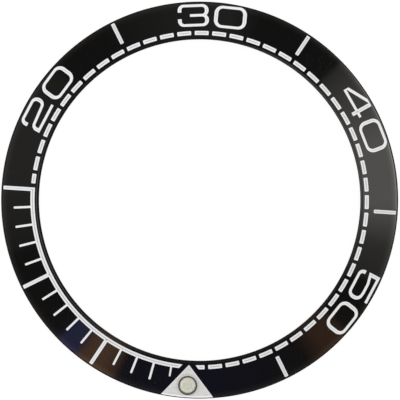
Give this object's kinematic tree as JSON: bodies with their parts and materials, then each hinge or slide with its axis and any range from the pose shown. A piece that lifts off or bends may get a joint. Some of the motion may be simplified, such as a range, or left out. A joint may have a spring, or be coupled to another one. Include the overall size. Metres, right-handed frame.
{
  "type": "watch bezel insert",
  "caption": "Black ceramic dive watch bezel insert with engraved minute scale, inlaid numerals, a zero triangle with a luminous pearl, and an adhesive back.",
  "frame": {"origin": "on the bore's axis, at the underside of the adhesive, which is the face that seats in the bezel", "axes": "+Z along the bore's axis out of the marked face, +Y towards the zero triangle, +X towards the fifteen-minute mark"},
  "size_m": [0.038, 0.038, 0.0011],
  "materials": {
    "black_ceramic": "polished",
    "white_inlay": "satin",
    "triangle_inlay": "satin",
    "cup_steel": "satin",
    "luminous_pellet": "matte",
    "clear_lens": "gloss",
    "adhesive": "satin"
  },
  "bodies": {
    "root": {"insert_ring": "black_ceramic", "adhesive_ring": "adhesive", "elapsed_scale": "white_inlay", "minute_dashes_15_20": "white_inlay", "minute_dashes_20_25": "white_inlay", "minute_dashes_25_30": "white_inlay", "minute_dashes_30_35": "white_inlay", "minute_dashes_35_40": "white_inlay", "minute_dashes_40_45": "white_inlay", "minute_dashes_45_50": "white_inlay", "minute_dashes_50_55": "white_inlay", "minute_dashes_55_60": "white_inlay", "five_minute_mark_25": "white_inlay", "five_minute_mark_35": "white_inlay", "five_minute_mark_45": "white_inlay", "five_minute_mark_55": "white_inlay", "numeral_20_two": "white_inlay", "numeral_20_zero": "white_inlay", "numeral_30_three": "white_inlay", "numeral_30_zero": "white_inlay", "numeral_40_four": "white_inlay", "numeral_40_zero": "white_inlay", "numeral_50_five": "white_inlay", "numeral_50_zero": "white_inlay", "zero_triangle": "triangle_inlay", "pearl_cup": "cup_steel", "lume_pellet": "luminous_pellet", "pearl_lens": "clear_lens"}
  },
  "joints": []
}
